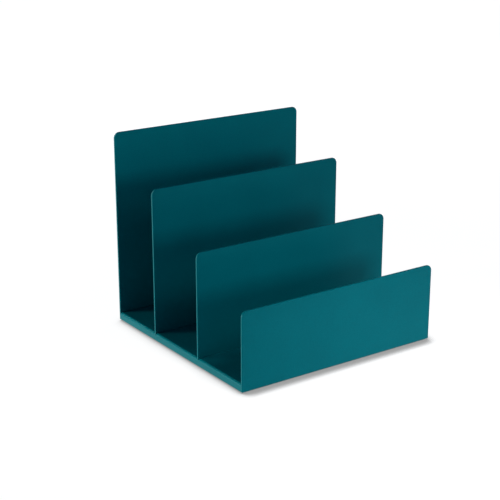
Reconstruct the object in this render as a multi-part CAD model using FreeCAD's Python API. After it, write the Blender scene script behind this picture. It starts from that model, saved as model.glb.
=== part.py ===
"""Stepped envelope sorter: four upright steel sheets on a raised floor pan, with rubber feet.

The floor pan is a shallow tray turned upside down. The front and the back panel close its ends
and reach down to the lower edge of its skirts. Two dividers stand on it, each held by tabs that
pass through slots in the floor and are bent flat beneath it. Rubber feet fill the recess under
the floor and carry the sorter just clear of the desk.

Everything is in millimetres. +X runs along the width, +Y from the front to the back, +Z up.
The origin is at the middle of the footprint, on the surface that the feet stand on.
"""

import FreeCAD
import Part
import math
import os

Vector = FreeCAD.Vector
AXIS_X = Vector(1, 0, 0)
AXIS_Y = Vector(0, 1, 0)
AXIS_Z = Vector(0, 0, 1)

# --- Driving dimensions ---------------------------------------------------------------------

# Overall width, from one open side to the other.
width = 190.5

# Coated steel sheet, the same for every sheet piece.
sheet = 1.8

# Clear depth of each compartment, between the two uprights that bound it.
front_compartment = 59.5
middle_compartment = 63.6
rear_compartment = 57.7

# Heights of the four uprights above the lower edge of the skirts.
front_panel_height = 65.5
front_divider_height = 94.8
rear_divider_height = 130.8
back_panel_height = 166.6

# Height of the floor's upper face above the lower edge of the skirts.
floor_height = 6.6

# Inner radius of every bend.
bend_radius = 0.3

# Rounding of the cut edges, and of the upper corners of the uprights.
edge_rounding = 0.7
corner_radius = 5.0

# Tabs of a divider: how many, how wide, how far in from the sides the outer ones stand, and how
# far each reaches behind its divider once it is bent.
tab_count = 3
tab_width = 18.0
tab_inset = 32.0
tab_reach = 9.0

# Gap between a tab and its slot, in front of it and at its sides.
slot_clearance = 0.3

# Gap between a divider's lower corner and the bend of the floor that it follows.
heel_clearance = 0.1

# Rubber feet: radius under the floor, how much narrower they end, the rounding of that end,
# how far they stand out of the recess, and their place in from the sides and the ends.
foot_radius = 6.5
foot_taper = 0.8
foot_rounding = 0.8
foot_stand = 1.0
foot_inset = 17.0

# --- Sizes that follow from them ------------------------------------------------------------

half_width = width / 2
depth = front_compartment + middle_compartment + rear_compartment + 4 * sheet
outer_bend = bend_radius + sheet

# Front face of each upright.
front_panel_y = -depth / 2
front_divider_y = front_panel_y + sheet + front_compartment
rear_divider_y = front_divider_y + sheet + middle_compartment
back_panel_y = rear_divider_y + sheet + rear_compartment

# The floor pan fills the length between the front and the back panel.
pan_front_y = front_panel_y + sheet
pan_back_y = back_panel_y

# Levels above the surface that the feet stand on.
skirt_z = foot_stand
floor_top_z = skirt_z + floor_height
floor_under_z = floor_top_z - sheet

# The tabs of both dividers stand at the same places along the width.
tab_pitch = (width - 2 * tab_inset) / (tab_count - 1)
tab_centres = [tab_inset - half_width + tab_pitch * place for place in range(tab_count)]

TOLERANCE = 1e-4


# --- Shapes that several pieces share -------------------------------------------------------


def block(low, high):
    """A box between two corners."""
    size = high - low
    return Part.makeBox(size.x, size.y, size.z, low)


def flat_at(low, high, place):
    """True if a stretch from low to high lies flat at place."""
    return abs(low - place) < TOLERANCE and abs(high - place) < TOLERANCE


def round_edges(solid, radius, wanted):
    """Rounds the edges of a solid whose bounding boxes pass the test."""
    return solid.makeFillet(radius, [edge for edge in solid.Edges if wanted(edge.BoundBox)])


def arc(centre, radius, u_axis, v_axis, start, end):
    """An arc about centre, from one angle to another in degrees, measured from u to v."""

    def at(degrees):
        angle = math.radians(degrees)
        return centre + u_axis * (radius * math.cos(angle)) + v_axis * (radius * math.sin(angle))

    return Part.Arc(at(start), at((start + end) / 2), at(end)).toShape()


def join(*solids):
    """One solid from several that touch or overlap."""
    return solids[0].fuse(list(solids[1:])).removeSplitter().Solids[0]


# --- Uprights -------------------------------------------------------------------------------


def upright(front_y, top_z):
    """A sheet standing on the floor's level, with rounded upper corners and rounded edges."""
    arc_x = half_width - corner_radius
    arc_z = top_z - corner_radius
    right_low = Vector(half_width, front_y, floor_top_z)
    left_low = Vector(-half_width, front_y, floor_top_z)
    edges = [
        Part.makeLine(left_low, right_low),
        Part.makeLine(right_low, Vector(half_width, front_y, arc_z)),
        arc(Vector(arc_x, front_y, arc_z), corner_radius, AXIS_X, AXIS_Z, 0, 90),
        Part.makeLine(Vector(arc_x, front_y, top_z), Vector(-arc_x, front_y, top_z)),
        arc(Vector(-arc_x, front_y, arc_z), corner_radius, AXIS_X, AXIS_Z, 90, 180),
        Part.makeLine(Vector(-half_width, front_y, arc_z), left_low),
    ]
    plate = Part.Face(Part.Wire(edges)).extrude(AXIS_Y * sheet)

    def outline(box):
        on_a_face = any(flat_at(box.YMin, box.YMax, y) for y in (front_y, front_y + sheet))
        return on_a_face and not flat_at(box.ZMin, box.ZMax, floor_top_z)

    return round_edges(plate, edge_rounding, outline)


def end_panel(front_y, outer_y, height):
    """The front or back panel, whose lower strip laps over the end of the floor pan.

    Only the outer face's edges are rounded on that strip: its inner face lies against the pan.
    """
    strip = block(
        Vector(-half_width, front_y, skirt_z),
        Vector(half_width, front_y + sheet, floor_top_z),
    )

    def outer_edge(box):
        return flat_at(box.YMin, box.YMax, outer_y) and not flat_at(box.ZMin, box.ZMax, floor_top_z)

    return join(upright(front_y, skirt_z + height), round_edges(strip, edge_rounding, outer_edge))


def tab(centre_x, front_y):
    """One tab of a divider: down through the floor, then back along the floor's under face."""
    start_x = centre_x - tab_width / 2
    back_y = front_y + sheet
    bend_y = back_y + bend_radius
    bend_z = floor_under_z + bend_radius
    end_y = back_y + tab_reach
    foot_z = floor_under_z - sheet

    def at(y, z):
        return Vector(start_x, y, z)

    edges = [
        Part.makeLine(at(front_y, floor_top_z), at(front_y, bend_z)),
        arc(at(bend_y, bend_z), outer_bend, AXIS_Y, AXIS_Z, 180, 270),
        Part.makeLine(at(bend_y, foot_z), at(end_y, foot_z)),
        Part.makeLine(at(end_y, foot_z), at(end_y, floor_under_z)),
        Part.makeLine(at(end_y, floor_under_z), at(bend_y, floor_under_z)),
        arc(at(bend_y, bend_z), bend_radius, AXIS_Y, AXIS_Z, 270, 180),
        Part.makeLine(at(back_y, bend_z), at(back_y, floor_top_z)),
        Part.makeLine(at(back_y, floor_top_z), at(front_y, floor_top_z)),
    ]
    return Part.Face(Part.Wire(edges)).extrude(AXIS_X * tab_width)


def heel(front_y):
    """The right lower corner of a divider, which reaches down along the bend of the floor."""
    bend_x = half_width - outer_bend
    bend_z = floor_top_z - outer_bend
    bar = block(Vector(bend_x, front_y, bend_z), Vector(half_width, front_y + sheet, floor_top_z))

    def outer_corner(box):
        return flat_at(box.XMin, box.XMax, half_width) and box.ZLength > outer_bend / 2

    bend = Part.makeCylinder(
        outer_bend + heel_clearance, 3 * sheet, Vector(bend_x, front_y - sheet, bend_z), AXIS_Y
    )
    return round_edges(bar, edge_rounding, outer_corner).cut(bend)


def divider(front_y, height):
    """An upright between two compartments, with its tabs and heels in one piece."""
    right_heel = heel(front_y)
    left_heel = right_heel.mirror(Vector(0, 0, 0), AXIS_X)
    tabs = [tab(centre_x, front_y) for centre_x in tab_centres]
    return join(upright(front_y, skirt_z + height), right_heel, left_heel, *tabs)


# --- Floor pan ------------------------------------------------------------------------------


def end_groove(end_y, bend_y):
    """What the bend at one end of the pan leaves open above it, between the two side skirts."""
    start_x = -half_width + outer_bend
    length = width - 2 * outer_bend
    bend_z = floor_top_z - outer_bend
    corner = block(
        Vector(start_x, min(end_y, bend_y), bend_z),
        Vector(start_x + length, max(end_y, bend_y), floor_top_z),
    )
    return corner.cut(Part.makeCylinder(outer_bend, length, Vector(start_x, bend_y, bend_z), AXIS_X))


def tab_slot(centre_x, front_y):
    """The slot for one tab. It reaches back to where the bend of the tab ends."""
    half_slot = tab_width / 2 + slot_clearance
    return block(
        Vector(centre_x - half_slot, front_y - slot_clearance, floor_under_z - sheet),
        Vector(centre_x + half_slot, front_y + sheet + bend_radius, floor_top_z + sheet),
    )


def floor_pan():
    """The floor with a skirt turned down on all four sides, and a slot for each tab."""
    outside = block(
        Vector(-half_width, pan_front_y, skirt_z), Vector(half_width, pan_back_y, floor_top_z)
    )

    def side_edge(box, z):
        on_a_side = any(flat_at(box.XMin, box.XMax, x) for x in (-half_width, half_width))
        return on_a_side and flat_at(box.ZMin, box.ZMax, z)

    outside = round_edges(outside, outer_bend, lambda box: side_edge(box, floor_top_z))
    outside = round_edges(outside, edge_rounding, lambda box: side_edge(box, skirt_z))
    recess = block(
        Vector(sheet - half_width, pan_front_y + sheet, skirt_z - sheet),
        Vector(half_width - sheet, pan_back_y - sheet, floor_under_z),
    )
    recess = round_edges(
        recess, bend_radius, lambda box: flat_at(box.ZMin, box.ZMax, floor_under_z)
    )
    pan = outside.cut(recess)
    pan = pan.cut(end_groove(pan_front_y, pan_front_y + outer_bend))
    pan = pan.cut(end_groove(pan_back_y, pan_back_y - outer_bend))
    for front_y in (front_divider_y, rear_divider_y):
        for centre_x in tab_centres:
            pan = pan.cut(tab_slot(centre_x, front_y))
    return pan.Solids[0]


# --- Feet -----------------------------------------------------------------------------------


def foot(x, y):
    """A round rubber foot from the desk up to the floor's under face."""
    end_radius = foot_radius - foot_taper
    cone = Part.makeCone(end_radius, foot_radius, floor_under_z, Vector(x, y, 0))
    return round_edges(cone, foot_rounding, lambda box: flat_at(box.ZMin, box.ZMax, 0))


def main():
    nodes = {
        "floor_pan": floor_pan(),
        "front_panel": end_panel(front_panel_y, front_panel_y, front_panel_height),
        "front_divider": divider(front_divider_y, front_divider_height),
        "rear_divider": divider(rear_divider_y, rear_divider_height),
        "back_panel": end_panel(back_panel_y, back_panel_y + sheet, back_panel_height),
    }
    foot_x = half_width - foot_inset
    foot_y = depth / 2 - foot_inset
    for end, y in (("front", -foot_y), ("rear", foot_y)):
        for side, x in (("left", -foot_x), ("right", foot_x)):
            nodes[f"foot_{end}_{side}"] = foot(x, y)

    os.makedirs("parts", exist_ok=True)
    for name, shape in nodes.items():
        shape.exportStep(f"parts/{name}.step")
        print(f"{name}: {len(shape.Solids)} solid, valid {shape.isValid()}, {shape.Volume:.1f} mm3")


main()
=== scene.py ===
"""Envelope sorter: its looks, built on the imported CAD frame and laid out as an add-on.

Four upright steel sheets stand on a folded floor pan, all in one satin powder coat, and moulded
rubber feet carry them. Everything is in metres in the frame of the CAD model: +X along the
width, +Y from the low front panel to the tall back panel, +Z up, and the desk at z = 0.
"""

import math

import bpy
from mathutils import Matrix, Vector


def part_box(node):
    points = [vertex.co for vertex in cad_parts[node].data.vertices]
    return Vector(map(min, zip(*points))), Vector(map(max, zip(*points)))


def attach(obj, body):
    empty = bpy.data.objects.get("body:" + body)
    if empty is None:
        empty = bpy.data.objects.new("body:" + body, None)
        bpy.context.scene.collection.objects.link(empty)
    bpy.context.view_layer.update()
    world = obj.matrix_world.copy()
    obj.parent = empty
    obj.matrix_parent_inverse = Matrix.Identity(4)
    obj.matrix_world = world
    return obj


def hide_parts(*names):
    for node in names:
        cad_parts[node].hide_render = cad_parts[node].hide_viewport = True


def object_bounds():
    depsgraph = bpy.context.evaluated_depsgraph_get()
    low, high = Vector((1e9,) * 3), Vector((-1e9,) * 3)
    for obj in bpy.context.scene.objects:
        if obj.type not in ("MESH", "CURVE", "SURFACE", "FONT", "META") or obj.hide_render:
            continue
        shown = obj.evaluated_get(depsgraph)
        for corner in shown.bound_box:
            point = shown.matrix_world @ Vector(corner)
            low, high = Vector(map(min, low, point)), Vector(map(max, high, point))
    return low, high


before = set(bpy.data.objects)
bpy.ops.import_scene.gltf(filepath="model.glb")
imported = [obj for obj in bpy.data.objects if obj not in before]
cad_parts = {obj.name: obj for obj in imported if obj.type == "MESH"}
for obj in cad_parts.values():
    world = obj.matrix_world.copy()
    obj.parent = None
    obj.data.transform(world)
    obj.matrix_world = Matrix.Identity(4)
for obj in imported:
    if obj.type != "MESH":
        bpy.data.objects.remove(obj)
cad_low, cad_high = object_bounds()

bl_info = {
    "name": "Envelope Sorter",
    "version": (1, 0, 0),
    "blender": (4, 5, 0),
    "location": "3D View > Sidebar > Sorter",
    "description": "Builds the coated sheets and rubber feet of a stepped envelope sorter",
    "category": "Object",
}

MM = 0.001

# --- The pieces, and the sizes that the frame gives ------------------------------------------

END_PANELS = ("front_panel", "back_panel")
DIVIDERS = ("front_divider", "rear_divider")
FEET = ("foot_front_left", "foot_front_right", "foot_rear_left", "foot_rear_right")

pan_low, pan_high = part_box("floor_pan")
panel_low, panel_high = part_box("front_panel")
divider_low, divider_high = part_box("front_divider")
rear_divider_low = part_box("rear_divider")[0]

width = cad_high.x - cad_low.x
depth = cad_high.y - cad_low.y
sheet = panel_high.y - panel_low.y
floor_level = pan_high.z
tab_reach = divider_high.y - divider_low.y - sheet

# --- Fixed values of the meshes and the camera -----------------------------------------------

# Faces that meet at a wider angle than this keep a hard edge between them.
CREASE_ANGLE = math.radians(30)

# Points closer together than this are one point.
MERGE_DISTANCE = 0.001 * MM

# Straight steps across the rounding of a cut edge, and across that of a foot.
EDGE_SEGMENTS = 4
FOOT_SEGMENTS = 5

# The last modifier of every piece: it keeps the flat faces flat beside their roundings.
EVEN_SHADING = ("WEIGHTED_NORMAL", {"keep_sharp": True})

# The width of the camera's sensor in millimetres, and the nearest and the farthest that it sees
# in metres.
SENSOR_WIDTH = 36.0
NEAR_CLIP = 0.01
FAR_CLIP = 100.0


# --- Settings that a user would change -------------------------------------------------------


def linear(hex_colour):
    """An sRGB hex colour as the linear colour that shaders and colour properties hold."""
    levels = [int(hex_colour[place : place + 2], 16) / 255 for place in (1, 3, 5)]
    return [v / 12.92 if v <= 0.04045 else ((v + 0.055) / 1.055) ** 2.4 for v in levels]


def length(name, description, value):
    """A length property with its default in millimetres."""
    return bpy.props.FloatProperty(
        name=name, description=description, default=value * MM, min=0.0, unit="LENGTH", precision=5
    )


def colour(name, description, hex_colour):
    """A colour property with its default as an sRGB hex colour."""
    return bpy.props.FloatVectorProperty(
        name=name,
        description=description,
        default=linear(hex_colour),
        size=3,
        min=0.0,
        max=1.0,
        subtype="COLOR",
    )


def share(name, description, value):
    """A property between 0 and 1."""
    return bpy.props.FloatProperty(
        name=name, description=description, default=value, min=0.0, max=1.0, subtype="FACTOR"
    )


class SORTER_PG_sheet(bpy.types.PropertyGroup):
    """Sizes of the cut and folded steel sheets."""

    corner_radius: length("Corner Radius", "Radius of the upper corners of every upright", 5.0)
    edge_rounding: length("Edge Rounding", "Radius of the coated cut edges", 0.4)
    bend_radius: length("Bend Radius", "Inner radius of every bend", 0.3)
    tab_width: length("Tab Width", "Width of a divider's tab", 18.0)
    tab_inset: length("Tab Inset", "From the open side to the middle of the outer tab", 32.0)
    slot_clearance: length("Slot Clearance", "Gap in front of a tab and at its sides", 0.3)
    tab_count: bpy.props.IntProperty(
        name="Tab Count", description="Tabs along the foot of a divider", default=3, min=2, max=12
    )
    arc_steps: bpy.props.IntProperty(
        name="Arc Steps", description="Straight steps in each quarter arc", default=10, min=2, max=32
    )


class SORTER_PG_foot(bpy.types.PropertyGroup):
    """Sizes of the rubber feet."""

    taper: length("Taper", "How much smaller the radius is at the desk", 0.8)
    rounding: length("Rounding", "Radius of the edge at the desk", 0.8)
    sides: bpy.props.IntProperty(
        name="Sides", description="Straight steps around a foot", default=64, min=12, max=256
    )


class SORTER_PG_finish(bpy.types.PropertyGroup):
    """Colours and surface of the two materials."""

    coat: colour("Coat", "Powder coat where its film is thick", "#00666F")
    coat_thin: colour("Thin Coat", "Powder coat in the valleys of its grain", "#005E67")
    gloss_tint: colour("Gloss Tint", "Colour that the pigment gives the coat's gloss", "#00E0F0")
    coat_smooth: share("Smooth Coat", "Roughness of the coat where it is smoothest", 0.28)
    coat_rough: share("Rough Coat", "Roughness of the coat where it is roughest", 0.36)
    peel_size: length("Peel Size", "Distance between the swells of the coat's orange peel", 1.9)
    peel_depth: length("Peel Depth", "Height of those swells", 0.012)
    rubber: colour("Rubber", "Moulded rubber", "#262627")
    rubber_smooth: share("Smooth Rubber", "Roughness of the rubber where it is smoothest", 0.68)
    rubber_rough: share("Rough Rubber", "Roughness of the rubber where it is roughest", 0.84)


class SORTER_PG_stage(bpy.types.PropertyGroup):
    """Camera, floor, and the light from all round."""

    aim: bpy.props.FloatVectorProperty(
        name="Aim",
        description="Point that the camera looks at",
        default=(-0.01822, 0.0053, 0.07377),
        subtype="TRANSLATION",
        precision=5,
    )
    distance: length("Distance", "From the camera to the aim", 1030.0)
    turn: bpy.props.FloatProperty(
        name="Turn",
        description="Camera's turn to the left of the sorter's front",
        default=math.radians(35.07),
        subtype="ANGLE",
    )
    tilt: bpy.props.FloatProperty(
        name="Tilt",
        description="Camera's tilt down from level",
        default=math.radians(18.2),
        subtype="ANGLE",
    )
    lens: bpy.props.FloatProperty(
        name="Lens",
        description=f"Focal length on a {SENSOR_WIDTH:g} mm wide sensor",
        default=88.75,
        unit="CAMERA",
    )
    floor_size: length("Floor Size", "Side of the square floor", 12000.0)
    # These two shape the contact shadow that is painted into the floor's white glow.
    contact_reach: length("Contact Reach", "How far the shadow at the sorter's foot reaches", 13.0)
    contact_level: share("Contact Level", "Brightness of the floor right beside the sorter", 0.33)
    air: colour("Air", "Colour of the light from all round", "#A4C4FF")
    wall_light: share("Wall Light", "Strength of the light from all round", 0.25)
    ceiling_light: share("Ceiling Light", "Strength of the light from above", 0.05)


# The softboxes, each with its place, the point that it is aimed at, its side, the spread of its
# light in degrees, its power in watts and its colour. The first two are narrow beams, for the
# floor in front of the sorter and for the back panel. The others stand all round it.
SOFTBOXES = {
    "floor_softbox": ((0.1, -0.45, 0.35), (0.05, -0.25, 0.0), 0.3, 60, 0.41, "#FFFFFF"),
    "upper_softbox": ((0.3, -1.3, 0.9), (0.0, 0.094, 0.34), 0.1, 20, 0.085, "#FFFFFF"),
    "front_softbox": ((0.5, -2.0, 0.26), (0.05, -0.1, 0.03), 0.7, 180, 13.3, "#FFFFFF"),
    "left_softbox": ((-1.27, 0.74, 0.13), (0.0, 0.0, 0.04), 0.3, 180, 25.5, "#FFFFF2"),
    "right_softbox": ((1.6, 0.5, 0.15), (0.09, 0.0, 0.05), 0.3, 180, 9.0, "#FFFFFF"),
    "rear_softbox": ((-0.1, 1.6, 0.35), (0.0, 0.09, 0.08), 0.6, 180, 9.0, "#FFFFFF"),
}


# --- Making node trees and meshes ------------------------------------------------------------


def add_node(tree, kind, settings=None, feeds=None):
    """One node with its settings. Feeds are its inputs: values, nodes or sockets.

    An input goes by its name, or by its number where a node has several of one name. So the two
    sides of a Mix node are 2 and 3 for values, and 6 and 7 for colours.
    """
    node = tree.nodes.new(kind)
    for name, value in (settings or {}).items():
        setattr(node, name, value)
    for name, feed in (feeds or {}).items():
        socket = node.inputs[name]
        for source in feed if isinstance(feed, list) else [feed]:
            if isinstance(source, bpy.types.Node):
                source = source.outputs[0]
            if isinstance(source, bpy.types.NodeSocket):
                tree.links.new(source, socket)
            else:
                socket.default_value = source
    return node


def new_tree(name, lengths, counts=("Arc Steps",), others=None):
    """A geometry node tree with named inputs, and the sockets that they come in by."""
    tree = bpy.data.node_groups.new(name, "GeometryNodeTree")
    kinds = dict(others or {})
    kinds.update({label: "NodeSocketFloat" for label in lengths})
    kinds.update({label: "NodeSocketInt" for label in counts})
    for label, kind in kinds.items():
        tree.interface.new_socket(label, in_out="INPUT", socket_type=kind)
    tree.interface.new_socket("Mesh", in_out="OUTPUT", socket_type="NodeSocketGeometry")
    return tree, add_node(tree, "NodeGroupInput").outputs


def close_tree(tree, shape, finish):
    """Ends a tree. Bends and roundings are shaded smooth, and the edges of flat faces stay sharp."""
    real = add_node(tree, "GeometryNodeRealizeInstances", None, {"Geometry": shape})
    smooth = add_node(tree, "GeometryNodeSetShadeSmooth", None, {"Geometry": real})
    crease = add_node(
        tree,
        "FunctionNodeCompare",
        {"operation": "GREATER_THAN"},
        {0: add_node(tree, "GeometryNodeInputMeshEdgeAngle"), 1: CREASE_ANGLE},
    )
    shaded = add_node(
        tree,
        "GeometryNodeSetShadeSmooth",
        {"domain": "EDGE"},
        {"Geometry": smooth, "Selection": crease, "Shade Smooth": False},
    )
    done = add_node(tree, "GeometryNodeSetMaterial", None, {"Geometry": shaded, "Material": finish})
    add_node(tree, "NodeGroupOutput", None, {0: done})


def new_object(name, data):
    """A new object with its data, linked to the scene."""
    item = bpy.data.objects.new(name, data)
    bpy.context.scene.collection.objects.link(item)
    return item


def grown(name, steps):
    """The plain mesh that a row of modifiers grows: node trees with inputs, kinds with settings."""
    maker = new_object(name, bpy.data.meshes.new(name))
    for kind, values in steps:
        if isinstance(kind, bpy.types.NodeTree):
            modifier = maker.modifiers.new(kind.name, "NODES")
            modifier.node_group = kind
            sockets = {item.name: item.identifier for item in kind.interface.items_tree}
            for label, value in values.items():
                modifier[sockets[label]] = value
        else:
            modifier = maker.modifiers.new(kind, kind)
            for setting, value in values.items():
                setattr(modifier, setting, value)
    graph = bpy.context.evaluated_depsgraph_get()
    mesh = bpy.data.meshes.new_from_object(
        maker.evaluated_get(graph), preserve_all_data_layers=True, depsgraph=graph
    )
    bpy.data.objects.remove(maker)
    if not mesh.polygons:
        raise RuntimeError(f"{name} came out empty")
    mesh.name = name
    # The trees leave an empty first slot before the piece's one finish.
    finish = mesh.materials[-1]
    mesh.materials.clear()
    mesh.materials.append(finish)
    mesh.polygons.foreach_set("material_index", [0] * len(mesh.polygons))
    return mesh


def stand_in(node, suffix, mesh):
    """Shows a finished mesh in the place of a CAD node."""
    piece = new_object(f"{node}_{suffix}", mesh)
    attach(piece, "root")
    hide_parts(node)


def once(name, store, make, *values):
    """What is stored under a name, made first if it isn't there yet."""
    return store.get(name) or make(*values)


# --- Node trees of the sheets and the feet ---------------------------------------------------


def rounded_bar_tree():
    """A bar along Y, centred on X and Y and standing on z = 0, with its corners rounded."""
    lengths = ("Width", "Height", "Length", "Upper Radius", "Lower Radius")
    tree, size = new_tree("Rounded Bar", lengths)
    at = add_node(
        tree, "ShaderNodeSeparateXYZ", None, {0: add_node(tree, "GeometryNodeInputPosition")}
    ).outputs
    above = add_node(tree, "ShaderNodeMath", {"operation": "GREATER_THAN"}, {0: at["Y"], 1: 0.0})
    radius = add_node(
        tree,
        "ShaderNodeMix",
        None,
        {0: above, 2: size["Lower Radius"], 3: size["Upper Radius"]},
    )
    outline = add_node(
        tree,
        "GeometryNodeCurvePrimitiveQuadrilateral",
        None,
        {"Width": size["Width"], "Height": size["Height"]},
    )
    rounded = add_node(
        tree,
        "GeometryNodeFilletCurve",
        {"mode": "POLY"},
        {"Curve": outline, "Radius": radius, "Count": size["Arc Steps"], "Limit Radius": True},
    )
    face = add_node(tree, "GeometryNodeFillCurve", {"mode": "NGONS"}, {"Curve": rounded})
    run = add_node(
        tree,
        "GeometryNodeExtrudeMesh",
        None,
        {"Mesh": face, "Offset": (0, 0, 1), "Offset Scale": size["Length"], "Individual": False},
    )
    near = add_node(tree, "GeometryNodeFlipFaces", None, {"Mesh": face})
    both = add_node(tree, "GeometryNodeJoinGeometry", None, {"Geometry": [run, near]})
    closed = add_node(
        tree, "GeometryNodeMergeByDistance", None, {"Geometry": both, "Distance": MERGE_DISTANCE}
    )
    # The outline's up becomes Z and its run Y. That swap mirrors the bar, so its faces turn back.
    along = add_node(
        tree,
        "ShaderNodeMath",
        {"operation": "MULTIPLY_ADD"},
        {0: size["Length"], 1: -0.5, 2: at["Z"]},
    )
    up = add_node(
        tree,
        "ShaderNodeMath",
        {"operation": "MULTIPLY_ADD"},
        {0: size["Height"], 1: 0.5, 2: at["Y"]},
    )
    where = add_node(tree, "ShaderNodeCombineXYZ", None, {"X": at["X"], "Y": along, "Z": up})
    stood = add_node(
        tree, "GeometryNodeSetPosition", None, {"Geometry": closed, "Position": where}
    )
    turned = add_node(tree, "GeometryNodeFlipFaces", None, {"Mesh": stood})
    add_node(tree, "NodeGroupOutput", None, {0: turned})
    return tree


def upright_tree(bar):
    """The flat blank of an upright sheet, with rounded upper corners."""
    lengths = ("Width", "Lower Edge", "Upper Edge", "Front Face", "Sheet", "Corner Radius")
    tree, size = new_tree("Upright Sheet", lengths, others={"Finish": "NodeSocketMaterial"})
    height = add_node(
        tree,
        "ShaderNodeMath",
        {"operation": "SUBTRACT"},
        {0: size["Upper Edge"], 1: size["Lower Edge"]},
    )
    blank = add_node(
        tree,
        "GeometryNodeGroup",
        {"node_tree": bar},
        {
            "Width": size["Width"],
            "Height": height,
            "Length": size["Sheet"],
            "Upper Radius": size["Corner Radius"],
            "Arc Steps": size["Arc Steps"],
        },
    )
    middle = add_node(
        tree,
        "ShaderNodeMath",
        {"operation": "MULTIPLY_ADD"},
        {0: size["Sheet"], 1: 0.5, 2: size["Front Face"]},
    )
    where = add_node(
        tree, "ShaderNodeCombineXYZ", None, {"Y": middle, "Z": size["Lower Edge"]}
    )
    stood = add_node(
        tree, "GeometryNodeTransform", None, {"Geometry": blank, "Translation": where}
    )
    close_tree(tree, stood, size["Finish"])
    return tree


def row_length(tree, size):
    """Distance between the middles of the first and the last tab in a row."""
    gaps = add_node(
        tree, "ShaderNodeMath", {"operation": "SUBTRACT"}, {0: size["Tab Count"], 1: 1.0}
    )
    return add_node(
        tree, "ShaderNodeMath", {"operation": "MULTIPLY"}, {0: gaps, 1: size["Tab Pitch"]}
    )


def floor_cutter(tree, size, bar, middle):
    """The floor's own outline with its bends, three sheets long, which cuts a divider's foot."""
    outer_bend = add_node(
        tree, "ShaderNodeMath", None, {0: size["Bend Radius"], 1: size["Sheet"]}
    )
    cutter_length = add_node(
        tree, "ShaderNodeMath", {"operation": "MULTIPLY"}, {0: size["Sheet"], 1: 3.0}
    )
    floor = add_node(
        tree,
        "GeometryNodeGroup",
        {"node_tree": bar},
        {
            "Width": size["Width"],
            "Height": size["Floor Level"],
            "Length": cutter_length,
            "Upper Radius": outer_bend,
            "Arc Steps": size["Arc Steps"],
        },
    )
    where = add_node(tree, "ShaderNodeCombineXYZ", None, {"Y": middle})
    return add_node(tree, "GeometryNodeTransform", None, {"Geometry": floor, "Translation": where})


def bent_tab(tree, size, middle):
    """A strip of sheet, swept down through the floor and back beneath it."""
    # Beneath the floor's own sheet, the tab's middle lies half a sheet further down.
    under = add_node(
        tree,
        "ShaderNodeMath",
        {"operation": "MULTIPLY_ADD"},
        {0: size["Sheet"], 1: -1.5, 2: size["Floor Level"]},
    )
    behind = add_node(
        tree, "ShaderNodeMath", None, {0: size["Front Face"], 1: size["Sheet"]}
    )
    end = add_node(tree, "ShaderNodeMath", None, {0: behind, 1: size["Tab Reach"]})
    # The path has three points: at the floor's level, straight below it, and at the tab's end.
    point = add_node(tree, "GeometryNodeInputIndex")
    below = add_node(tree, "ShaderNodeMath", {"operation": "GREATER_THAN"}, {0: point, 1: 0.5})
    at_end = add_node(tree, "ShaderNodeMath", {"operation": "GREATER_THAN"}, {0: point, 1: 1.5})
    where = add_node(
        tree,
        "ShaderNodeCombineXYZ",
        None,
        {
            "Y": add_node(tree, "ShaderNodeMix", None, {0: at_end, 2: middle, 3: end}),
            "Z": add_node(tree, "ShaderNodeMix", None, {0: below, 2: size["Floor Level"], 3: under}),
        },
    )
    three_points = add_node(tree, "GeometryNodeMeshLine", None, {"Count": 3})
    path = add_node(
        tree, "GeometryNodeSetPosition", None, {"Geometry": three_points, "Position": where}
    )
    middle_bend = add_node(
        tree,
        "ShaderNodeMath",
        {"operation": "MULTIPLY_ADD"},
        {0: size["Sheet"], 1: 0.5, 2: size["Bend Radius"]},
    )
    bend = add_node(
        tree,
        "GeometryNodeFilletCurve",
        {"mode": "POLY"},
        {
            "Curve": add_node(tree, "GeometryNodeMeshToCurve", None, {"Mesh": path}),
            "Count": size["Arc Steps"],
            "Radius": middle_bend,
        },
    )
    section = add_node(
        tree,
        "GeometryNodeCurvePrimitiveQuadrilateral",
        None,
        {"Width": size["Tab Width"], "Height": size["Sheet"]},
    )
    return add_node(
        tree,
        "GeometryNodeCurveToMesh",
        None,
        {"Curve": bend, "Profile Curve": section, "Fill Caps": True},
    )


def divider_foot_tree(bar):
    """Fits an upright to the floor. Its foot follows the floor's bends, and tabs hold it below."""
    lengths = ("Width", "Floor Level", "Front Face", "Sheet", "Bend Radius")
    lengths += ("Tab Width", "Tab Pitch", "Tab Reach")
    others = {"Upright": "NodeSocketGeometry", "Finish": "NodeSocketMaterial"}
    tree, size = new_tree("Divider Foot", lengths, ("Tab Count", "Arc Steps"), others)
    middle = add_node(
        tree,
        "ShaderNodeMath",
        {"operation": "MULTIPLY_ADD"},
        {0: size["Sheet"], 1: 0.5, 2: size["Front Face"]},
    )
    standing = add_node(
        tree,
        "GeometryNodeMeshBoolean",
        {"operation": "DIFFERENCE", "solver": "EXACT"},
        {"Mesh 1": size["Upright"], "Mesh 2": floor_cutter(tree, size, bar, middle)},
    )
    start = add_node(
        tree,
        "ShaderNodeMath",
        {"operation": "MULTIPLY"},
        {0: row_length(tree, size), 1: -0.5},
    )
    places = add_node(
        tree,
        "GeometryNodeMeshLine",
        None,
        {
            "Count": size["Tab Count"],
            "Start Location": add_node(tree, "ShaderNodeCombineXYZ", None, {"X": start}),
            "Offset": add_node(tree, "ShaderNodeCombineXYZ", None, {"X": size["Tab Pitch"]}),
        },
    )
    tabs = add_node(
        tree,
        "GeometryNodeInstanceOnPoints",
        None,
        {"Points": places, "Instance": bent_tab(tree, size, middle)},
    )
    whole = add_node(tree, "GeometryNodeJoinGeometry", None, {"Geometry": [standing, tabs]})
    close_tree(tree, whole, size["Finish"])
    return tree


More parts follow.
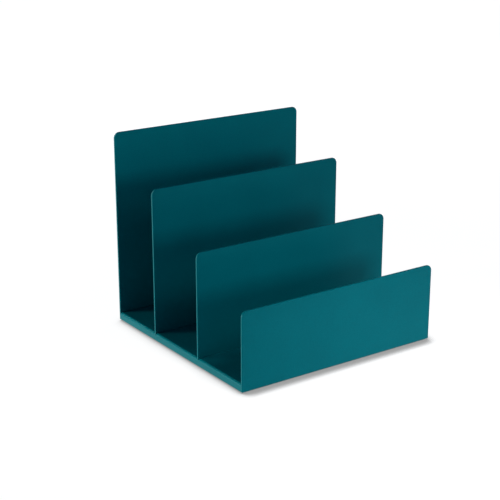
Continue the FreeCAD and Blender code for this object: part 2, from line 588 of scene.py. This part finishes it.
def pan_recess(tree, size, bar):
    """What is open under the floor. It leaves one sheet at the top and on all four sides."""
    inner_width = add_node(
        tree,
        "ShaderNodeMath",
        {"operation": "MULTIPLY_ADD"},
        {0: size["Sheet"], 1: -2.0, 2: size["Width"]},
    )
    inner_length = add_node(
        tree,
        "ShaderNodeMath",
        {"operation": "MULTIPLY_ADD"},
        {0: size["Sheet"], 1: -2.0, 2: size["Length"]},
    )
    hollow = add_node(
        tree,
        "GeometryNodeGroup",
        {"node_tree": bar},
        {
            "Width": inner_width,
            "Height": size["Height"],
            "Length": inner_length,
            "Upper Radius": size["Bend Radius"],
            "Arc Steps": size["Arc Steps"],
        },
    )
    down = add_node(tree, "ShaderNodeMath", {"operation": "MULTIPLY"}, {0: size["Sheet"], 1: -1.0})
    where = add_node(tree, "ShaderNodeCombineXYZ", None, {"Z": down})
    return add_node(tree, "GeometryNodeTransform", None, {"Geometry": hollow, "Translation": where})


def pan_relief(tree, size, bar, outer_bend):
    """What the floor's bends at both ends leave open above them, between the side skirts.

    It is a thin layer along the top, less a bar whose upper corners follow the bends.
    """
    bend_width = add_node(
        tree,
        "ShaderNodeMath",
        {"operation": "MULTIPLY_ADD"},
        {0: outer_bend, 1: -2.0, 2: size["Width"]},
    )
    layer = add_node(
        tree,
        "GeometryNodeGroup",
        {"node_tree": bar},
        {
            "Width": bend_width,
            "Height": outer_bend,
            "Length": size["Length"],
            "Arc Steps": size["Arc Steps"],
        },
    )
    bend_level = add_node(
        tree, "ShaderNodeMath", {"operation": "SUBTRACT"}, {0: size["Height"], 1: outer_bend}
    )
    where = add_node(tree, "ShaderNodeCombineXYZ", None, {"Z": bend_level})
    top_layer = add_node(
        tree, "GeometryNodeTransform", None, {"Geometry": layer, "Translation": where}
    )
    long_bar = add_node(
        tree,
        "GeometryNodeGroup",
        {"node_tree": bar},
        {
            "Width": size["Length"],
            "Height": size["Height"],
            "Length": size["Width"],
            "Upper Radius": outer_bend,
            "Arc Steps": size["Arc Steps"],
        },
    )
    folded = add_node(
        tree,
        "GeometryNodeTransform",
        None,
        {"Geometry": long_bar, "Rotation": (0, 0, math.radians(90))},
    )
    return add_node(
        tree,
        "GeometryNodeMeshBoolean",
        {"operation": "DIFFERENCE", "solver": "EXACT"},
        {"Mesh 1": top_layer, "Mesh 2": folded},
    )


def pan_slots(tree, size, bar, outer_bend):
    """Two rows of slots. Each lets a tab and the start of its bend through."""
    slot_width = add_node(
        tree,
        "ShaderNodeMath",
        {"operation": "MULTIPLY_ADD"},
        {0: size["Slot Clearance"], 1: 2.0, 2: size["Tab Width"]},
    )
    slot_length = add_node(
        tree, "ShaderNodeMath", None, {0: outer_bend, 1: size["Slot Clearance"]}
    )
    slot_height = add_node(
        tree, "ShaderNodeMath", {"operation": "MULTIPLY"}, {0: size["Sheet"], 1: 3.0}
    )
    slot = add_node(
        tree,
        "GeometryNodeGroup",
        {"node_tree": bar},
        {
            "Width": slot_width,
            "Height": slot_height,
            "Length": slot_length,
            "Arc Steps": size["Arc Steps"],
        },
    )
    places = add_node(
        tree,
        "GeometryNodeMeshGrid",
        None,
        {
            "Size X": row_length(tree, size),
            "Size Y": size["Row Distance"],
            "Vertices X": size["Tab Count"],
            "Vertices Y": 2,
        },
    )
    slots = add_node(
        tree, "GeometryNodeInstanceOnPoints", None, {"Points": places, "Instance": slot}
    )
    # A slot's middle lies behind the divider's front face by half of its reach both ways.
    slot_reach = add_node(
        tree,
        "ShaderNodeMath",
        {"operation": "SUBTRACT"},
        {0: outer_bend, 1: size["Slot Clearance"]},
    )
    slot_middle = add_node(
        tree,
        "ShaderNodeMath",
        {"operation": "MULTIPLY_ADD"},
        {0: slot_reach, 1: 0.5, 2: size["Row Middle"]},
    )
    # It is cut from one sheet above the floor to one sheet below it.
    slot_level = add_node(
        tree,
        "ShaderNodeMath",
        {"operation": "MULTIPLY_ADD"},
        {0: size["Sheet"], 1: -2.0, 2: size["Height"]},
    )
    where = add_node(tree, "ShaderNodeCombineXYZ", None, {"Y": slot_middle, "Z": slot_level})
    return add_node(tree, "GeometryNodeTransform", None, {"Geometry": slots, "Translation": where})


def floor_pan_tree(bar):
    """The folded floor: a tray turned upside down, with a slot for each tab."""
    lengths = ("Width", "Length", "Height", "Sheet", "Bend Radius", "Edge Rounding")
    lengths += ("Row Distance", "Row Middle", "Tab Width", "Tab Pitch", "Slot Clearance")
    others = {"Place": "NodeSocketVector", "Finish": "NodeSocketMaterial"}
    tree, size = new_tree("Floor Pan", lengths, ("Tab Count", "Arc Steps"), others)
    outer_bend = add_node(
        tree, "ShaderNodeMath", None, {0: size["Bend Radius"], 1: size["Sheet"]}
    )
    # The coat closes the seams to the end panels, so the pan is drawn up to where they are flat.
    coated_length = add_node(
        tree,
        "ShaderNodeMath",
        {"operation": "MULTIPLY_ADD"},
        {0: size["Edge Rounding"], 1: 2.0, 2: size["Length"]},
    )
    outside = add_node(
        tree,
        "GeometryNodeGroup",
        {"node_tree": bar},
        {
            "Width": size["Width"],
            "Height": size["Height"],
            "Length": coated_length,
            "Upper Radius": outer_bend,
            "Lower Radius": size["Edge Rounding"],
            "Arc Steps": size["Arc Steps"],
        },
    )
    openings = [
        pan_recess(tree, size, bar),
        pan_relief(tree, size, bar, outer_bend),
        pan_slots(tree, size, bar, outer_bend),
    ]
    pan = add_node(
        tree,
        "GeometryNodeMeshBoolean",
        {"operation": "DIFFERENCE", "solver": "EXACT"},
        {"Mesh 1": outside, "Mesh 2": openings},
    )
    placed = add_node(
        tree, "GeometryNodeTransform", None, {"Geometry": pan, "Translation": size["Place"]}
    )
    close_tree(tree, placed, size["Finish"])
    return tree


def rubber_foot_tree():
    """A round foot that narrows towards the desk. The edge that it stands on is marked for rounding."""
    others = {"Place": "NodeSocketVector", "Finish": "NodeSocketMaterial"}
    tree, size = new_tree("Rubber Foot", ("Radius", "End Radius", "Height"), ("Sides",), others)
    cone = add_node(
        tree,
        "GeometryNodeMeshCone",
        None,
        {
            "Vertices": size["Sides"],
            "Radius Top": size["Radius"],
            "Radius Bottom": size["End Radius"],
            "Depth": size["Height"],
        },
    )
    at = add_node(
        tree, "ShaderNodeSeparateXYZ", None, {0: add_node(tree, "GeometryNodeInputPosition")}
    ).outputs
    # Only the lower end's points lie this low.
    lowest = 0.01 * MM
    low = add_node(tree, "ShaderNodeMath", {"operation": "LESS_THAN"}, {0: at["Z"], 1: lowest})
    marked = add_node(
        tree,
        "GeometryNodeStoreNamedAttribute",
        {"domain": "EDGE"},
        {"Geometry": cone, "Name": "bevel_weight_edge", "Value": low},
    )
    placed = add_node(
        tree, "GeometryNodeTransform", None, {"Geometry": marked, "Translation": size["Place"]}
    )
    close_tree(tree, placed, size["Finish"])
    return tree


# --- Materials -------------------------------------------------------------------------------

# Noise seldom goes below or above the first two values, and a mix of two noises seldom goes
# below or above the other two.
NOISE_LOW = 0.3
NOISE_HIGH = 0.7
MIXED_NOISE_LOW = 0.35
MIXED_NOISE_HIGH = 0.65


def new_finish(name):
    """A new material with an empty tree, its shader, and the object's own coordinates."""
    finish = bpy.data.materials.new(name)
    finish.use_nodes = True
    tree = finish.node_tree
    tree.nodes.clear()
    shader = add_node(tree, "ShaderNodeBsdfPrincipled")
    add_node(tree, "ShaderNodeOutputMaterial", None, {"Surface": shader})
    return finish, tree, shader, add_node(tree, "ShaderNodeTexCoord").outputs["Object"]


def powder_coat():
    """Satin powder coat baked on steel.

    The powder melts into one even film, so the colour is deep and nearly uniform, with a fine
    grain. Its surface swells a little, which breaks the gloss up into soft orange peel. The
    pigment lies right under the surface and tints the gloss, which is white only at grazing
    angles.
    """
    look = bpy.context.scene.sorter_finish
    finish, tree, shader, at = new_finish("satin_powder_coat")
    # A real film has grains of about 0.1 mm. They are drawn at 0.8 mm, the finest that shows.
    grain_size = 0.8 * MM
    grain = add_node(
        tree,
        "ShaderNodeTexNoise",
        None,
        {"Vector": at, "Scale": 1 / grain_size, "Detail": 2.0, "Roughness": 0.6},
    )
    # The film also gets thicker and thinner over a few centimetres, as the powder was sprayed.
    cloud_size = 40 * MM
    cloud_share = 0.35
    cloud = add_node(
        tree,
        "ShaderNodeTexNoise",
        None,
        {"Vector": at, "Scale": 1 / cloud_size, "Detail": 1.0},
    )
    tone = add_node(tree, "ShaderNodeMix", None, {0: cloud_share, 2: grain, 3: cloud})
    thickness = add_node(
        tree,
        "ShaderNodeMapRange",
        None,
        {"Value": tone, "From Min": MIXED_NOISE_LOW, "From Max": MIXED_NOISE_HIGH},
    )
    film = add_node(
        tree,
        "ShaderNodeMix",
        {"data_type": "RGBA"},
        {0: thickness, 6: (*look.coat_thin, 1), 7: (*look.coat, 1)},
    )
    satin = add_node(
        tree,
        "ShaderNodeMapRange",
        None,
        {
            "Value": grain,
            "From Min": NOISE_LOW,
            "From Max": NOISE_HIGH,
            "To Min": look.coat_smooth,
            "To Max": look.coat_rough,
        },
    )
    peel = add_node(
        tree,
        "ShaderNodeTexNoise",
        None,
        {"Vector": at, "Scale": 1 / look.peel_size, "Detail": 1.0, "Roughness": 0.4},
    )
    swell = add_node(
        tree,
        "ShaderNodeBump",
        None,
        {"Strength": 0.5, "Distance": look.peel_depth, "Height": peel},
    )
    tree.links.new(film.outputs[2], shader.inputs["Base Color"])
    tree.links.new(satin.outputs[0], shader.inputs["Roughness"])
    tree.links.new(swell.outputs[0], shader.inputs["Normal"])
    # A typical coat has an IOR of 1.5. It is lower here, because this one's gloss is less white.
    shader.inputs["IOR"].default_value = 1.2
    shader.inputs["Specular Tint"].default_value = (*look.gloss_tint, 1)
    return finish


def moulded_rubber():
    """Moulded rubber: nearly black and dull, with the fine grain that a blasted mould leaves."""
    look = bpy.context.scene.sorter_finish
    finish, tree, shader, at = new_finish("moulded_rubber")
    # The mould's grain is about 0.05 mm. It is drawn at 0.3 mm, so that close views show it.
    grain_size = 0.3 * MM
    grain_depth = 0.01 * MM
    bloom_share = 0.25
    grain = add_node(
        tree,
        "ShaderNodeTexNoise",
        None,
        {"Vector": at, "Scale": 1 / grain_size, "Detail": 2.0},
    )
    dull = add_node(
        tree,
        "ShaderNodeMapRange",
        None,
        {
            "Value": grain,
            "From Min": NOISE_LOW,
            "From Max": NOISE_HIGH,
            "To Min": look.rubber_smooth,
            "To Max": look.rubber_rough,
        },
    )
    bloom = add_node(
        tree,
        "ShaderNodeMix",
        {"data_type": "RGBA", "blend_type": "MULTIPLY"},
        {0: bloom_share, 6: (*look.rubber, 1), 7: grain.outputs["Color"]},
    )
    blasted = add_node(
        tree,
        "ShaderNodeBump",
        None,
        {"Strength": 0.4, "Distance": grain_depth, "Height": grain},
    )
    tree.links.new(bloom.outputs[2], shader.inputs["Base Color"])
    tree.links.new(dull.outputs[0], shader.inputs["Roughness"])
    tree.links.new(blasted.outputs[0], shader.inputs["Normal"])
    return finish


# --- Floor board and studio air --------------------------------------------------------------

# The share of the light that the floor board throws back. Where it is seen directly it shows the
# smaller share, and adds a white of its own.
BOARD_SHARE = 0.8
BOARD_SEEN_SHARE = 0.2

# That white. The lamps fall off with the distance from the sorter, so it rises with it, from the
# near distance to the far one.
BOARD_WHITE_NEAR = 0.94
BOARD_WHITE_FAR = 1.0
BOARD_NEAR = 0.3
BOARD_FAR = 1.0

# The open air above a point is felt for along this line. The light comes from the left and from
# behind, so the line leans that way, and the shadow painted on the floor reaches furthest in front.
AIR_LINE = (-0.13, 0.44, 0.89)

# A point right beside an upright still has this share of the air, and it is the darkest.
LEAST_AIR = 0.45

# Heights of sight above the level. The backdrop starts to fade at the first and is gone at the
# second. From there the walls' light changes to the ceiling's, up to the third.
BACKDROP_TOP = math.radians(12)
WALL_TOP = math.radians(20)
CEILING_EDGE = math.radians(55)


def seen_directly(tree):
    """1 for rays that show a thing as it is: from the camera, off gloss and through glass."""
    rays = add_node(tree, "ShaderNodeLightPath").outputs
    direct = add_node(
        tree,
        "ShaderNodeMath",
        {"operation": "MAXIMUM"},
        {0: rays["Is Camera Ray"], 1: rays["Is Glossy Ray"]},
    )
    return add_node(
        tree,
        "ShaderNodeMath",
        {"operation": "MAXIMUM"},
        {0: direct, 1: rays["Is Transmission Ray"]},
    )


def painted_contact_shadow(tree, view):
    """Painted shadow: how bright the floor stays close to what stands on it, from the open air above
    each point.
    """
    line = add_node(tree, "ShaderNodeCombineXYZ", None, dict(zip("XYZ", AIR_LINE)))
    open_air = add_node(
        tree,
        "ShaderNodeAmbientOcclusion",
        None,
        {"Distance": view.contact_reach, "Normal": line},
    )
    return add_node(
        tree,
        "ShaderNodeMapRange",
        {"interpolation_type": "SMOOTHSTEP"},
        {
            "Value": open_air.outputs["AO"],
            "From Min": LEAST_AIR,
            "From Max": 1.0,
            "To Min": view.contact_level,
            "To Max": 1.0,
        },
    )


def open_floor(tree, at):
    """1 where the floor is open, and 0 beneath the tray, from its skirts inwards."""
    from_middle = add_node(tree, "ShaderNodeVectorMath", {"operation": "ABSOLUTE"}, {0: at})
    reach = add_node(tree, "ShaderNodeSeparateXYZ", None, {0: from_middle}).outputs
    beside = add_node(
        tree,
        "ShaderNodeMath",
        {"operation": "GREATER_THAN"},
        {0: reach["X"], 1: width / 2 - sheet},
    )
    beyond = add_node(
        tree,
        "ShaderNodeMath",
        {"operation": "GREATER_THAN"},
        {0: reach["Y"], 1: depth / 2 - sheet},
    )
    return add_node(tree, "ShaderNodeMath", {"operation": "MAXIMUM"}, {0: beside, 1: beyond})


def matt_white_board():
    """The floor: matt white board.

    Seen directly it is white, and darkens only in shadows and close to what stands on it, where a
    shadow is painted into its white glow.
    """
    view = bpy.context.scene.sorter_stage
    finish, tree, shader, at = new_finish("matt_white_board")
    finish.cycles.emission_sampling = "NONE"
    direct = seen_directly(tree)
    # Gloss shows the board without its painted contact shadow. Beneath the tray the glow and colour
    # are cut, so direct sight finds painted black shade there.
    glossy = add_node(tree, "ShaderNodeLightPath").outputs["Is Glossy Ray"]
    shown = add_node(
        tree,
        "ShaderNodeMath",
        {"operation": "MAXIMUM"},
        {0: painted_contact_shadow(tree, view), 1: glossy},
    )
    bright = add_node(
        tree, "ShaderNodeMath", {"operation": "MULTIPLY"}, {0: shown, 1: open_floor(tree, at)}
    )
    distance = add_node(tree, "ShaderNodeVectorMath", {"operation": "LENGTH"}, {0: at})
    own_white = add_node(
        tree,
        "ShaderNodeMapRange",
        {"interpolation_type": "SMOOTHSTEP"},
        {
            "Value": distance.outputs["Value"],
            "From Min": BOARD_NEAR,
            "From Max": BOARD_FAR,
            "To Min": BOARD_WHITE_NEAR,
            "To Max": BOARD_WHITE_FAR,
        },
    )
    seen = add_node(
        tree, "ShaderNodeMath", {"operation": "MULTIPLY"}, {0: bright, 1: BOARD_SEEN_SHARE}
    )
    glow = add_node(tree, "ShaderNodeMath", {"operation": "MULTIPLY"}, {0: bright, 1: own_white})
    board = add_node(tree, "ShaderNodeMix", None, {0: direct, 2: BOARD_SHARE, 3: seen})
    white = add_node(tree, "ShaderNodeMath", {"operation": "MULTIPLY"}, {0: direct, 1: glow})
    tree.links.new(board.outputs[0], shader.inputs["Base Color"])
    tree.links.new(white.outputs[0], shader.inputs["Emission Strength"])
    shader.inputs["Emission Color"].default_value = (1, 1, 1, 1)
    shader.inputs["Roughness"].default_value = 1.0
    shader.inputs["Specular IOR Level"].default_value = 0.0
    return finish


def studio_air(view):
    """The world: pale walls and a dim ceiling, with a white backdrop low down for direct sight."""
    world = bpy.data.worlds.new("studio_air")
    world.use_nodes = True
    tree = world.node_tree
    tree.nodes.clear()
    # In a world these coordinates are the direction of sight, and its Z is the sine of its height.
    sight = add_node(tree, "ShaderNodeTexCoord").outputs["Object"]
    rise = add_node(tree, "ShaderNodeSeparateXYZ", None, {0: sight}).outputs["Z"]
    light = add_node(
        tree,
        "ShaderNodeMapRange",
        {"interpolation_type": "SMOOTHSTEP"},
        {
            "Value": rise,
            "From Min": math.sin(WALL_TOP),
            "From Max": math.sin(CEILING_EDGE),
            "To Min": view.wall_light,
            "To Max": view.ceiling_light,
        },
    )
    backdrop = add_node(
        tree,
        "ShaderNodeMapRange",
        {"interpolation_type": "SMOOTHSTEP"},
        {
            "Value": rise,
            "From Min": math.sin(BACKDROP_TOP),
            "From Max": math.sin(WALL_TOP),
            "To Min": 1.0,
            "To Max": 0.0,
        },
    )
    white = add_node(
        tree, "ShaderNodeMath", {"operation": "MULTIPLY"}, {0: backdrop, 1: seen_directly(tree)}
    )
    level = add_node(tree, "ShaderNodeMix", None, {0: white, 2: light, 3: 1.0})
    tone = add_node(
        tree,
        "ShaderNodeMix",
        {"data_type": "RGBA"},
        {0: white, 6: (*view.air, 1), 7: (1, 1, 1, 1)},
    )
    air = add_node(
        tree, "ShaderNodeBackground", None, {"Color": tone.outputs[2], "Strength": level}
    )
    add_node(tree, "ShaderNodeOutputWorld", None, {"Surface": air})
    return world


# --- Operators -------------------------------------------------------------------------------


def tab_pitch(metal):
    """Distance between the middles of two tabs."""
    return (width - 2 * metal.tab_inset) / (metal.tab_count - 1)


def upright_steps(node, metal, lower_edge, coat):
    """What every upright starts with: its blank, and the rounding of its cut edges."""
    low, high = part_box(node)
    bar = once("Rounded Bar", bpy.data.node_groups, rounded_bar_tree)
    blank = {
        "Width": width,
        "Lower Edge": lower_edge,
        "Upper Edge": high.z,
        "Front Face": low.y,
        "Sheet": sheet,
        "Corner Radius": metal.corner_radius,
        "Arc Steps": metal.arc_steps,
        "Finish": coat,
    }
    rounding = {
        "width": metal.edge_rounding,
        "segments": EDGE_SEGMENTS,
        "limit_method": "ANGLE",
    }
    tree = once("Upright Sheet", bpy.data.node_groups, upright_tree, bar)
    return [(tree, blank), ("BEVEL", rounding)]


class SORTER_OT_floor_pan(bpy.types.Operator):
    """Folds the floor pan, with its skirts and the slots for the dividers' tabs"""

    bl_idname = "sorter.floor_pan"
    bl_label = "Floor Pan"

    def execute(self, context):
        metal = context.scene.sorter_sheet
        coat = once("satin_powder_coat", bpy.data.materials, powder_coat)
        bar = once("Rounded Bar", bpy.data.node_groups, rounded_bar_tree)
        middle = (pan_low + pan_high) / 2
        sizes = {
            "Width": width,
            "Length": pan_high.y - pan_low.y,
            "Height": pan_high.z - pan_low.z,
            "Sheet": sheet,
            "Bend Radius": metal.bend_radius,
            "Edge Rounding": metal.edge_rounding,
            "Row Distance": rear_divider_low.y - divider_low.y,
            "Row Middle": (rear_divider_low.y + divider_low.y) / 2 - middle.y,
            "Tab Width": metal.tab_width,
            "Tab Pitch": tab_pitch(metal),
            "Slot Clearance": metal.slot_clearance,
            "Tab Count": metal.tab_count,
            "Arc Steps": metal.arc_steps,
            "Place": (middle.x, middle.y, pan_low.z),
            "Finish": coat,
        }
        tree = once("Floor Pan", bpy.data.node_groups, floor_pan_tree, bar)
        mesh = grown("floor_pan_sheet", [(tree, sizes), EVEN_SHADING])
        stand_in("floor_pan", "sheet", mesh)
        return {"FINISHED"}


class SORTER_OT_end_panels(bpy.types.Operator):
    """Makes the front and the back panel, which lap over the ends of the floor pan"""

    bl_idname = "sorter.end_panels"
    bl_label = "End Panels"

    def execute(self, context):
        metal = context.scene.sorter_sheet
        coat = once("satin_powder_coat", bpy.data.materials, powder_coat)
        for node in END_PANELS:
            steps = upright_steps(node, metal, pan_low.z, coat)
            mesh = grown(f"{node}_sheet", [*steps, EVEN_SHADING])
            stand_in(node, "sheet", mesh)
        return {"FINISHED"}


class SORTER_OT_dividers(bpy.types.Operator):
    """Makes the two dividers, whose tabs pass through the floor and fold back under it"""

    bl_idname = "sorter.dividers"
    bl_label = "Dividers"

    def execute(self, context):
        metal = context.scene.sorter_sheet
        coat = once("satin_powder_coat", bpy.data.materials, powder_coat)
        bar = once("Rounded Bar", bpy.data.node_groups, rounded_bar_tree)
        tree = once("Divider Foot", bpy.data.node_groups, divider_foot_tree, bar)
        for node in DIVIDERS:
            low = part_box(node)[0]
            foot = {
                "Width": width,
                "Floor Level": floor_level,
                "Front Face": low.y,
                "Sheet": sheet,
                "Bend Radius": metal.bend_radius,
                "Tab Width": metal.tab_width,
                "Tab Pitch": tab_pitch(metal),
                "Tab Reach": tab_reach,
                "Tab Count": metal.tab_count,
                "Arc Steps": metal.arc_steps,
                "Finish": coat,
            }
            steps = upright_steps(node, metal, low.z, coat)
            mesh = grown(f"{node}_sheet", [*steps, (tree, foot), EVEN_SHADING])
            stand_in(node, "sheet", mesh)
        return {"FINISHED"}


class SORTER_OT_feet(bpy.types.Operator):
    """Makes the four rubber feet in the recess under the floor"""

    bl_idname = "sorter.feet"
    bl_label = "Rubber Feet"

    def execute(self, context):
        feet = context.scene.sorter_foot
        rubber = once("moulded_rubber", bpy.data.materials, moulded_rubber)
        tree = once("Rubber Foot", bpy.data.node_groups, rubber_foot_tree)
        rounding = {
            "width": feet.rounding,
            "segments": FOOT_SEGMENTS,
            "limit_method": "WEIGHT",
        }
        for node in FEET:
            low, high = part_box(node)
            radius = (high.x - low.x) / 2
            sizes = {
                "Radius": radius,
                "End Radius": radius - feet.taper,
                "Height": high.z - low.z,
                "Sides": feet.sides,
                "Place": ((low.x + high.x) / 2, (low.y + high.y) / 2, low.z),
                "Finish": rubber,
            }
            mesh = grown(f"{node}_rubber", [(tree, sizes), ("BEVEL", rounding), EVEN_SHADING])
            stand_in(node, "rubber", mesh)
        return {"FINISHED"}


def white_floor(view):
    """Lays the square floor, with its middle under the sorter."""
    half = view.floor_size / 2
    corners = [(-half, -half, 0), (half, -half, 0), (half, half, 0), (-half, half, 0)]
    mesh = bpy.data.meshes.new("floor")
    mesh.from_pydata(corners, [], [(0, 1, 2, 3)])
    mesh.materials.append(once("matt_white_board", bpy.data.materials, matt_white_board))
    floor = new_object("floor", mesh)


def softbox(name, place, aim, side, spread, power, tint):
    """Hangs a square soft lamp, which the camera doesn't see."""
    data = bpy.data.lights.new(name, "AREA")
    data.shape = "SQUARE"
    data.size = side
    data.spread = math.radians(spread)
    data.energy = power
    data.color = linear(tint)
    lamp = new_object(name, data)
    lamp.location = place
    beam = Vector(aim) - Vector(place)
    lamp.rotation_euler = beam.to_track_quat("-Z", "Y").to_euler()
    lamp.visible_camera = False


def studio_camera(view):
    """The camera, turned and tilted about the point that it looks at."""
    sight = Vector(
        (
            math.sin(view.turn) * math.cos(view.tilt),
            math.cos(view.turn) * math.cos(view.tilt),
            -math.sin(view.tilt),
        )
    )
    data = bpy.data.cameras.new("camera")
    data.lens = view.lens
    data.sensor_width = SENSOR_WIDTH
    data.clip_start = NEAR_CLIP
    data.clip_end = FAR_CLIP
    camera = new_object("camera", data)
    camera.location = Vector(view.aim) - sight * view.distance
    camera.rotation_euler = (math.radians(90) - view.tilt, 0, -view.turn)
    return camera


class SORTER_OT_stage(bpy.types.Operator):
    """Sets the pale floor, the soft lamps and the camera"""

    bl_idname = "sorter.stage"
    bl_label = "Stage"

    def execute(self, context):
        view = context.scene.sorter_stage
        white_floor(view)
        for name, values in SOFTBOXES.items():
            softbox(name, *values)
        context.scene.world = studio_air(view)
        context.scene.camera = studio_camera(view)
        context.scene.view_settings.view_transform = "Standard"
        return {"FINISHED"}


class SORTER_PT_sidebar(bpy.types.Panel):
    """Lists the sorter's sizes, colours and pieces"""

    bl_idname = "SORTER_PT_sidebar"
    bl_label = "Envelope Sorter"
    bl_space_type = "VIEW_3D"
    bl_region_type = "UI"
    bl_category = "Sorter"

    def draw(self, context):
        for group, operators in PANEL_ROWS.items():
            box = self.layout.box()
            settings = getattr(context.scene, group)
            for name in settings.bl_rna.properties.keys():
                if name not in ("rna_type", "name"):
                    box.prop(settings, name)
            for operator in operators:
                box.operator(operator.bl_idname)


GROUPS = {
    "sorter_sheet": SORTER_PG_sheet,
    "sorter_foot": SORTER_PG_foot,
    "sorter_finish": SORTER_PG_finish,
    "sorter_stage": SORTER_PG_stage,
}
PANEL_ROWS = {
    "sorter_sheet": (SORTER_OT_floor_pan, SORTER_OT_end_panels, SORTER_OT_dividers),
    "sorter_foot": (SORTER_OT_feet,),
    "sorter_finish": (),
    "sorter_stage": (SORTER_OT_stage,),
}
OPERATORS = [operator for row in PANEL_ROWS.values() for operator in row]


def register():
    for item in (*GROUPS.values(), *OPERATORS, SORTER_PT_sidebar):
        bpy.utils.register_class(item)
    for name, group in GROUPS.items():
        setattr(bpy.types.Scene, name, bpy.props.PointerProperty(type=group))


def unregister():
    for name in GROUPS:
        delattr(bpy.types.Scene, name)
    for item in (SORTER_PT_sidebar, *reversed(OPERATORS), *reversed(GROUPS.values())):
        bpy.utils.unregister_class(item)


def main():
    register()
    bpy.ops.sorter.floor_pan()
    bpy.ops.sorter.end_panels()
    bpy.ops.sorter.dividers()
    bpy.ops.sorter.feet()
    bpy.ops.sorter.stage()


if __name__ == "__main__":
    main()
